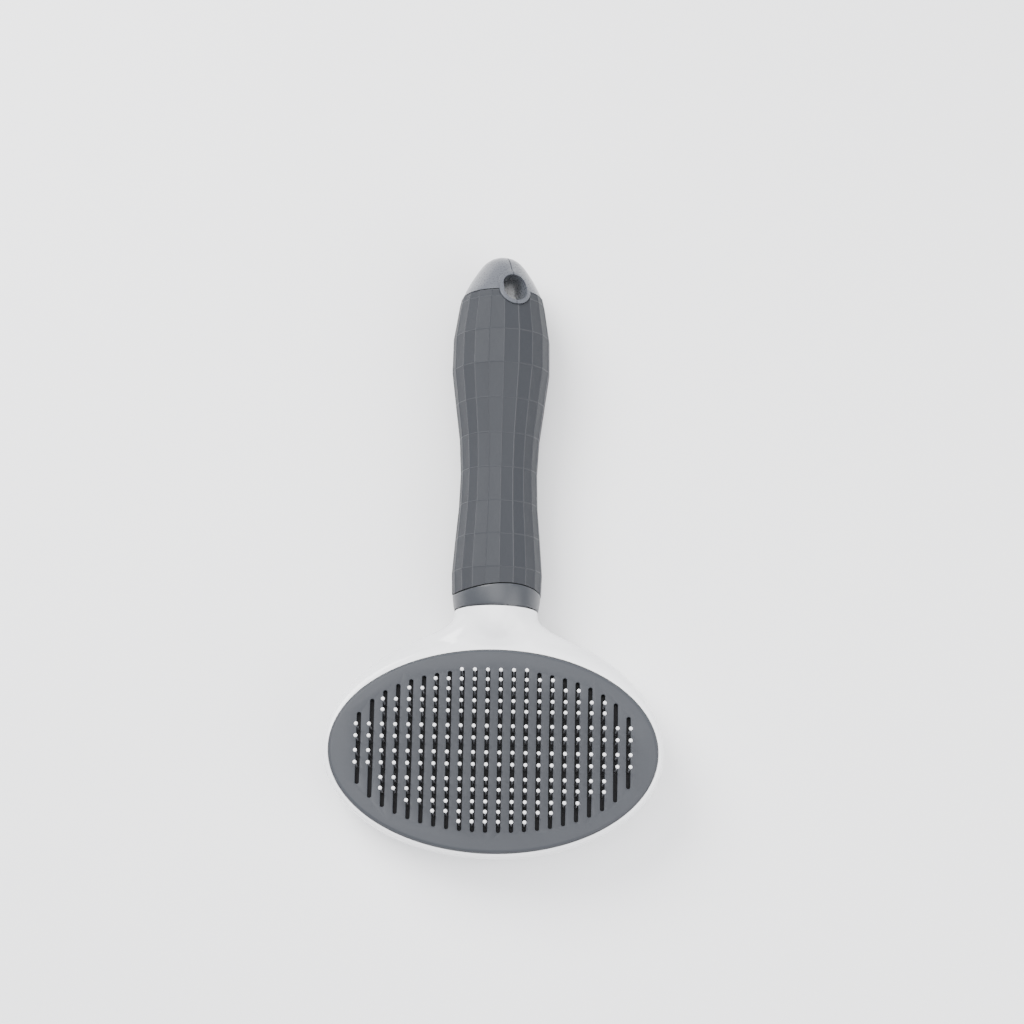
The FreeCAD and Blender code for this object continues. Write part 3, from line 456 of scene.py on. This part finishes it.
# ------------------------------------------------------------------ handle
# the handle's side from the collar to the crown: place and radius in millimetres
SIDE = ((48.6, 14.35), (50, 14.6), (51.5, 14.82), (53, 14.99), (54.5, 15.12), (56, 15.21), (57.5, 15.26),
        (60, 15.27), (64, 15.12), (68, 14.83), (72, 14.45), (76, 14.05), (80, 13.69), (84, 13.37),
        (88, 13.13), (92, 12.98), (96, 12.94), (100, 13.02), (104, 13.21), (108, 13.51), (112, 13.92),
        (116, 14.44), (120, 15.04), (124, 15.66), (128, 16.22), (132, 16.66), (136, 16.9), (140, 16.9),
        (144, 16.68), (148, 16.27), (152, 15.7), (156, 14.98), (160.4, 14.0))
CROWN = ((160.4, 14.0), (162.9, 12.91), (165.31, 11.7), (167.63, 10.38), (169.88, 8.98), (172.03, 7.47),
         (173.02, 6.61), (173.9, 5.64), (174.64, 4.53), (175.21, 3.24), (175.57, 1.74), (175.7, 0.3))


def side_at(place):
    for (low, near), (high, far) in zip(SIDE, SIDE[1:]):
        if place <= high:
            return near + (far - near) * (place - low) / (high - low)
    return SIDE[-1][1]


def long_hole_tool(name, radius, reach):
    """A prism with the hanging hole's long outline, standing across the handle."""
    fresh()
    bpy.ops.mesh.primitive_circle_add(vertices=48, radius=radius * MM, fill_type="NGON")
    tool = named(name)
    open_piece(tool)
    choose(tool, lambda corner: corner.co.y > TINY * MM, "VERT")
    bpy.ops.transform.translate(value=(0.0, HOLE_STRAIGHT * MM, 0.0))
    choose(tool, lambda corner: corner.co.y < -TINY * MM, "VERT")
    bpy.ops.transform.translate(value=(0.0, -HOLE_STRAIGHT * MM, 0.0))
    bpy.ops.mesh.select_all(action="SELECT")
    bpy.ops.transform.translate(value=(0.0, 0.0, -reach * MM))
    bpy.ops.mesh.extrude_region_move(TRANSFORM_OT_translate={"value": (0.0, 0.0, 2 * reach * MM)})
    bpy.ops.mesh.select_all(action="SELECT")
    bpy.ops.mesh.normals_make_consistent(inside=False)
    close_piece()
    stand_across(tool, HOLE_PLACE)
    return tool


def arch_tool(name, radius):
    """A wide drum across the handle that gives the collar its arched upper edge."""
    fresh()
    bpy.ops.mesh.primitive_cylinder_add(vertices=288, radius=radius * MM, depth=80 * MM)
    tool = named(name)
    stand_across(tool, COLLAR_ARCH_TOP - COLLAR_ARCH_RADIUS)
    return tool


def make_grip():
    """Soft grip: twenty columns of long flat panels, parted by fine raised ribs."""
    borders = (52.4, 61.7, 73.4, 85.1, 97.0, 108.9, 120.9, 133.0, 145.1, 157.35, 160.0)
    rings = [(place, side_at(place) + 0.3) for place in borders]
    grip = turned_piece("soft_grip", rings, 20, ends=False)
    # ribs, inner side and ends keep the lighter rib rubber, a painted highlight; the inset panels get the grip
    # rubber
    grip.data.materials.append(FINISHES["grip_rib"])
    grip.data.materials.append(FINISHES["soft_grip"])
    put_on(grip, "SOLIDIFY", thickness=2.3 * MM, offset=-1.0, use_even_offset=True)
    open_piece(grip)

    def outer(face):
        spot = middle(face)
        reach = Vector((spot.x, spot.y, 0.0))
        return face.normal.dot(reach.normalized()) > 0.5 and reach.length > 0.0115

    choose(grip, outer)
    bpy.ops.mesh.inset(thickness=0.24 * MM, depth=-0.09 * MM, use_individual=True, use_even_offset=True)
    bpy.context.object.active_material_index = 1
    bpy.ops.object.material_slot_assign()
    bpy.ops.mesh.poke(offset=-0.05 * MM, use_relative_offset=False)
    close_piece()
    lay_on_handle(grip, math.radians(3.6))
    carve(grip, arch_tool("grip_foot_tool", COLLAR_ARCH_RADIUS + 0.4))
    carve(grip, long_hole_tool("grip_notch_tool", HOLE_RADIUS + 1.65, 30.0))
    ease_edges(grip, 0.3, 2, 62.0)
    fit_out(grip, "head", "soft_grip", "grip_sleeve")


def make_collar():
    rings = [ring for ring in SIDE if ring[0] < 58]
    # a hair's gap between the collar and the neck
    rings[0] = (rings[0][0] + 0.3, rings[0][1])
    collar = turned_piece("arched_collar", rings, 128, ends=False)
    put_on(collar, "SOLIDIFY", thickness=2.2 * MM, offset=-1.0, use_even_offset=True)
    lay_on_handle(collar)
    carve(collar, arch_tool("collar_arch_tool", COLLAR_ARCH_RADIUS), "INTERSECT")
    ease_edges(collar, 0.22, 3, 50.0)
    smooth(collar, 35)
    fit_out(collar, "head", "handle_grey", "handle_collar", finish_name="collar_grey")


def make_crown_halves():
    """The two moulded halves: a core inside the grip, the crown, and the lip round the hanging hole."""
    core = [(place, radius - 2.35) for place, radius in SIDE[::3]]
    core += [(160.4, side_at(160.4) - 2.35)]
    whole = turned_piece("crown_core", core + list(CROWN), CROWN_COLUMNS)
    grown = [(place, radius + 0.6) for place, radius in SIDE if place >= 148]
    grown += [(place + 0.6 * (1 - radius / 14.0), radius + 0.6) for place, radius in CROWN[1:]]
    lip = turned_piece("eyelet_lip", grown, CROWN_COLUMNS)
    # half a step round, so that the parting plane falls between the columns of corners
    lay_on_handle(whole, TURN + math.radians(180 / CROWN_COLUMNS))
    lay_on_handle(lip, TURN + math.radians(180 / CROWN_COLUMNS))
    carve(lip, long_hole_tool("lip_tool", HOLE_RADIUS + 1.4, 30.0), "INTERSECT")
    ease_edges(lip, 0.45, 3, 40.0)
    carve(whole, lip, "UNION")
    carve(whole, long_hole_tool("hole_tool", HOLE_RADIUS, 40.0))
    ease_edges(whole, 0.3, 3, 55.0)
    across = Vector((math.cos(TURN), 0.0, -math.sin(TURN)))
    for name, side, node in (("crown_half_left", -1.0, "handle_half_left"),
                             ("crown_half_right", 1.0, "handle_half_right")):
        half = twin(whole, name)
        open_piece(half)
        bpy.ops.mesh.select_all(action="SELECT")
        bpy.ops.mesh.bisect(plane_co=Vector((0.0, 0.0, AXIS)) + across * side * HALF_GAP * MM,
                            plane_no=across * side, use_fill=True, clear_inner=True)
        close_piece()
        ease_edges(half, 0.22, 2, 75.0)
        smooth(half, 35)
        fit_out(half, "head", "handle_grey", node)
    bpy.data.objects.remove(whole, do_unlink=True)


# ------------------------------------------------------------------ head
def to_oval(piece, stretch):
    """Stretches a round piece made at the head's middle into the oval of the face."""
    open_piece(piece)
    bpy.ops.mesh.select_all(action="SELECT")
    bpy.ops.transform.resize(value=(stretch, 1.0, 1.0), center_override=(0.0, 0.0, 0.0))
    close_piece()


def make_face():
    """Oval face with 22 slots whose rims are eased, on four posts."""
    face = turned_piece("slotted_face", ((25.5, FACE_HALF[1]), (28.0, FACE_HALF[1])), 160)
    to_oval(face, FACE_HALF[0] / FACE_HALF[1])
    open_piece(face)
    choose(face, lambda edge: all(corner.co.z > 27.9 * MM for corner in edge.verts), "EDGE")
    bpy.ops.mesh.bevel(offset=1.3 * MM, segments=6, profile=0.5)
    close_piece()
    # one slot cutter, copied and lengthened for each slot
    fresh()
    bpy.ops.mesh.primitive_circle_add(vertices=16, radius=SLOT_RADIUS * MM, location=(0.0, 0.0, 24.0 * MM),
                                      fill_type="NGON")
    first = named("slot_tool")
    bpy.ops.object.transform_apply(location=True)
    open_piece(first)
    bpy.ops.mesh.select_all(action="SELECT")
    bpy.ops.mesh.extrude_region_move(TRANSFORM_OT_translate={"value": (0.0, 0.0, 6.0 * MM)})
    bpy.ops.mesh.select_all(action="SELECT")
    bpy.ops.mesh.normals_make_consistent(inside=False)
    close_piece()
    tools = []
    for column in range(SLOTS):
        across = (column - 10.5) * PIN_PITCH
        share = 1.0 - (abs(across) / SLOT_FIELD[0]) ** SLOT_POWER
        half = SLOT_FIELD[1] * share ** (1.0 / SLOT_POWER) - SLOT_RADIUS
        tool = twin(first, "slot_tool_%02d" % (column + 1))
        open_piece(tool)
        choose(tool, lambda corner: corner.co.y > TINY * MM, "VERT")
        bpy.ops.transform.translate(value=(0.0, half * MM, 0.0))
        choose(tool, lambda corner: corner.co.y < -TINY * MM, "VERT")
        bpy.ops.transform.translate(value=(0.0, -half * MM, 0.0))
        bpy.ops.mesh.select_all(action="SELECT")
        bpy.ops.transform.translate(value=(across * MM, 0.0, 0.0))
        close_piece()
        tools.append(tool)
    bpy.data.objects.remove(first, do_unlink=True)
    fresh()
    for tool in tools:
        tool.select_set(True)
    bpy.context.view_layer.objects.active = tools[0]
    bpy.ops.object.join()
    carve(face, tools[0])
    ease_edges(face, 0.16, 2, 60.0)
    posts = [face]
    for across in (-SPRING_COLUMN, SPRING_COLUMN):
        for along in (-SPRING_ROW, SPRING_ROW):
            fresh()
            bpy.ops.mesh.primitive_cylinder_add(vertices=24, radius=0.9 * MM, depth=15.4 * MM,
                                                location=(across * MM, along * MM, 17.9 * MM))
            post = named("spring_post")
            bpy.ops.object.transform_apply(location=True)
            open_piece(post)
            choose(post, lambda edge: all(corner.co.z < 10.3 * MM for corner in edge.verts), "EDGE")
            bpy.ops.mesh.bevel(offset=0.3 * MM, segments=2)
            close_piece()
            posts.append(post)
    fresh()
    for post in posts:
        post.select_set(True)
    bpy.context.view_layer.objects.active = face
    bpy.ops.object.join()
    smooth(face, 40)
    fit_out(face, "head", "face_grey", "face_plate")


# the bowl's outline at rising heights: height, half width, reach to the free end, reach to the shoulder
BOWL = ((0.0, 52.0, 31.0, 33.4), (1.2, 53.1, 32.1, 34.7), (2.97, 54.2, 33.0, 36.4), (5.4, 55.4, 33.8, 38.3),
        (8.1, 56.2, 34.4, 40.0), (12.0, 56.95, 34.85, 42.1), (16.2, 57.2, 35.0, 43.0),
        (19.4, 57.22, 35.02, 42.6), (22.14, 57.15, 35.0, 41.1), (24.7, 56.95, 34.95, 39.2), (27.0, 56.6, 34.9, 36.8))


def make_bowl():
    fresh()
    bpy.ops.mesh.primitive_circle_add(vertices=144, radius=BOWL[0][1] * MM, fill_type="NGON")
    bowl = named("bowl")
    open_piece(bowl)
    bpy.ops.mesh.select_all(action="SELECT")
    before = (0.0, BOWL[0][1], BOWL[0][1], BOWL[0][1])
    for level in BOWL:
        high = level[0] * MM
        if level is not BOWL[0]:
            rise = (0.0, 0.0, high - before[0] * MM)
            bpy.ops.mesh.extrude_region_move(TRANSFORM_OT_translate={"value": rise})
        bpy.ops.transform.resize(value=(level[1] / before[1], 1.0, 1.0), center_override=(0.0, 0.0, high))
        for end, side in ((2, -1.0), (3, 1.0)):
            choose(bowl, lambda corner: abs(corner.co.z - high) < 0.00001 and corner.co.y * side > 0.000001,
                   "VERT")
            bpy.ops.transform.resize(value=(1.0, level[end] / before[end], 1.0),
                                     center_override=(0.0, 0.0, high))
        choose(bowl, lambda face: all(abs(corner.co.z - high) < 0.00001 for corner in face.verts))
        before = level
    bpy.ops.mesh.select_all(action="SELECT")
    bpy.ops.mesh.remove_doubles(threshold=0.000002)
    bpy.ops.mesh.normals_make_consistent(inside=False)
    close_piece()
    return bowl


def make_shell():
    """The white bowl, its shoulder and the round neck, run into each other, then hollowed."""
    shell = make_bowl()
    # the shoulder's ovals: place before the neck's middle, width and height in neck radii
    flare = ((-12.0, 2.36, 0.66), (-11.0, 2.22, 0.72), (-9.5, 1.98, 0.75), (-8.0, 1.76, 0.78),
             (-6.5, 1.52, 0.82), (-5.0, 1.32, 0.87), (-3.5, 1.16, 0.92), (-2.0, 1.05, 0.96), (0.6, 0.98, 0.98))
    ovals = [(NECK_MIDDLE + along, NECK_RADIUS * wide, NECK_RADIUS * tall) for along, wide, tall in flare]
    shoulder = turned_piece("shoulder", ovals, 96)
    turns = [math.radians(turn) for turn in (4, 12, 22, 32, 42, 52, 62, 72, 82, 90)]
    dome = [(NECK_MIDDLE - NECK_RADIUS * math.cos(turn), NECK_RADIUS * math.sin(turn)) for turn in turns]
    neck = turned_piece("neck", dome + [(50.5, NECK_RADIUS)], 96)
    for part in (shoulder, neck):
        lay_on_handle(part, 0.0)
    fresh()
    for part in (shoulder, neck, shell):
        part.select_set(True)
    bpy.context.view_layer.objects.active = shell
    bpy.ops.object.join()
    shell.name = shell.data.name = "white_bowl_and_neck"
    put_on(shell, "REMESH", mode="VOXEL", voxel_size=0.85 * MM)
    put_on(shell, "SMOOTH", factor=0.5, iterations=5)
    open_piece(shell)
    bpy.ops.mesh.select_all(action="SELECT")
    bpy.ops.mesh.bisect(plane_co=(0.0, 48.4 * MM, 0.0), plane_no=(0.0, 1.0, 0.0), use_fill=True,
                        clear_outer=True)
    close_piece()
    spigot = turned_piece("spigot", ((44.0, 9.8), (75.4, 9.8), (76.0, 9.2)), 64)
    lay_on_handle(spigot, 0.0)
    carve(shell, spigot, "UNION")
    well = turned_piece("well_tool", ((-1.0, 49.15, 28.15), (6.5, 49.15, 28.15), (6.5, 53.3, 32.3),
                                      (25.5, 53.3, 32.3), (25.5, 55.15, 34.15), (34.0, 55.15, 34.15)), 160)
    carve(shell, well)
    fresh()
    bpy.ops.mesh.primitive_cube_add(size=1.0, location=(0.0, 39.1 * MM, 15.55 * MM),
                                    scale=(12.4 * MM, 16.2 * MM, 18.9 * MM))
    pocket = named("latch_pocket_tool")
    bpy.ops.object.transform_apply(location=True, scale=True)
    carve(shell, pocket)
    way = turned_piece("button_way_tool", ((-3.0, 4.8), (10.0, 4.8)), 48)
    open_piece(way)
    bpy.ops.mesh.select_all(action="SELECT")
    bpy.ops.transform.translate(value=(0.0, BUTTON_PLACE * MM, 0.0))
    close_piece()
    carve(shell, way)
    smooth(shell, 40)
    fit_out(shell, "head", "white_shell", "head_shell")


def make_push_pad():
    """Cup-shaped pad for the palm, with three sunk oval grip rings under a shallow dish."""
    low = ((0.0, 26.35), (0.35, 27.15), (0.9, 27.65), (1.5, PAD_HALF[1]), (20.0, PAD_HALF[1]))
    pad = turned_piece("palm_push_pad", low, 128)
    to_oval(pad, PAD_HALF[0] / PAD_HALF[1])
    open_piece(pad)
    choose(pad, lambda face: face.normal.z > 0.9 and middle(face).z > 19 * MM)
    bpy.ops.mesh.inset(thickness=1.8 * MM)
    bpy.ops.mesh.extrude_region_move(TRANSFORM_OT_translate={"value": (0.0, 0.0, -17.8 * MM)})
    choose(pad, lambda face: face.normal.z < -0.9 and middle(face).z < 0.01 * MM and len(face.verts) > 20)
    for spacing in (2.6, 3.4, 3.4):
        bpy.ops.mesh.inset(thickness=spacing * MM)
        bpy.ops.mesh.inset(thickness=0.45 * MM, depth=-0.55 * MM)
        bpy.ops.mesh.inset(thickness=0.6 * MM)
        bpy.ops.mesh.inset(thickness=0.45 * MM, depth=0.5 * MM)
    bpy.ops.mesh.inset(thickness=4.0 * MM, depth=-0.5 * MM)
    bpy.ops.mesh.select_all(action="SELECT")
    bpy.ops.mesh.normals_make_consistent(inside=False)
    close_piece()
    smooth(pad, 38)
    fit_out(pad, "pin_slide", "pad_grey", "rear_push_pad")


def make_button():
    """Round button with a dished, ribbed face and a flange that keeps it in."""
    side = ((1.2, 3.9), (1.35, 4.3), (1.65, 4.52), (2.0, 4.6), (6.3, 4.6), (6.3, 5.4), (7.5, 5.4), (7.5, 4.6),
            (9.6, 4.6))
    button = turned_piece("dished_button", side, 64)
    open_piece(button)
    choose(button, lambda face: len(face.verts) > 20 and middle(face).z < 1.3 * MM)
    for step in (0.12, 0.12, 0.1, 0.06):
        bpy.ops.mesh.inset(thickness=0.8 * MM, depth=-step * MM)
    bpy.ops.mesh.select_all(action="SELECT")
    bpy.ops.mesh.normals_make_consistent(inside=False)
    bpy.ops.transform.translate(value=(0.0, BUTTON_PLACE * MM, 0.0))
    close_piece()
    smooth(button, 40)
    fit_out(button, "button", "button_grey", "release_button")


def make_springs():
    """Four coil springs between the carrier's sleeves and the face."""
    fresh()
    low, high, turns = 9.25, 25.45, 9
    bpy.ops.mesh.primitive_circle_add(vertices=8, radius=0.2 * MM, location=(1.28 * MM, 0.0, low * MM),
                                      rotation=(math.radians(90), 0.0, 0.0))
    coil = named("coil_spring")
    bpy.ops.object.transform_apply(location=True, rotation=True)
    put_on(coil, "SCREW", angle=math.radians(360), screw_offset=(high - low) * MM / turns, iterations=turns,
           steps=20, render_steps=20, axis="Z", use_merge_vertices=True, merge_threshold=0.000001)
    open_piece(coil)
    bpy.ops.mesh.select_all(action="SELECT")
    bpy.ops.mesh.remove_doubles(threshold=0.000001)
    bpy.ops.mesh.select_mode(type="EDGE")
    bpy.ops.mesh.select_non_manifold()
    bpy.ops.mesh.edge_face_add()
    bpy.ops.mesh.select_all(action="SELECT")
    bpy.ops.mesh.normals_make_consistent(inside=False)
    close_piece()
    smooth(coil, 60)
    spot = 0
    for along in (-SPRING_ROW, SPRING_ROW):
        for across in (-SPRING_COLUMN, SPRING_COLUMN):
            spot += 1
            low_corner, high_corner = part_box("return_spring_%d" % spot)
            centre = (low_corner + high_corner) / 2
            spring = twin(coil, "coil_spring_%d" % spot)
            open_piece(spring)
            bpy.ops.mesh.select_all(action="SELECT")
            bpy.ops.transform.translate(value=(centre.x, centre.y, 0.0))
            close_piece()
            spring.data.materials.append(FINISHES["spring_steel"])
            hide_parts("return_spring_%d" % spot)
            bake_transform(spring)
    bpy.data.objects.remove(coil, do_unlink=True)


make_grip()
make_collar()
make_crown_halves()
make_face()
make_shell()
make_push_pad()
make_button()
make_springs()


# ------------------------------------------------------------------ floor and light
LIGHT_AIM = Vector((0.0, 0.05, 0.0))


def lay_floor():
    bpy.ops.object.select_all(action="DESELECT")
    bpy.ops.mesh.primitive_plane_add(size=6.0, location=(0.0, 0.0, -0.0003))
    floor = bpy.context.object
    floor.name = "floor"
    material = plastic("pale_floor", (0.9, 0.9, 0.905), drift=0.01, rough=0.6, bump=0.0)
    floor.data.materials.append(material)


def hang_light(name, place, size, power):
    lamp = bpy.data.lights.new(name, "AREA")
    lamp.shape = "DISK"
    lamp.size = size
    lamp.energy = power
    holder = bpy.data.objects.new(name, lamp)
    bpy.context.scene.collection.objects.link(holder)
    holder.location = place
    holder.rotation_euler = (LIGHT_AIM - Vector(place)).to_track_quat("-Z", "Y").to_euler()


lay_floor()
hang_light("key_light", (-0.55, 0.55, 0.85), 0.7, 20.0)
hang_light("fill_light", (0.7, -0.3, 0.7), 0.9, 10.0)
hang_light("top_light", (0.0, 0.1, 1.3), 1.0, 12.0)
world = bpy.data.worlds.new("pale_room")
world.use_nodes = True
world.node_tree.nodes["Background"].inputs["Color"].default_value = (0.95, 0.96, 1.0, 1.0)
world.node_tree.nodes["Background"].inputs["Strength"].default_value = 1.12
bpy.context.scene.world = world
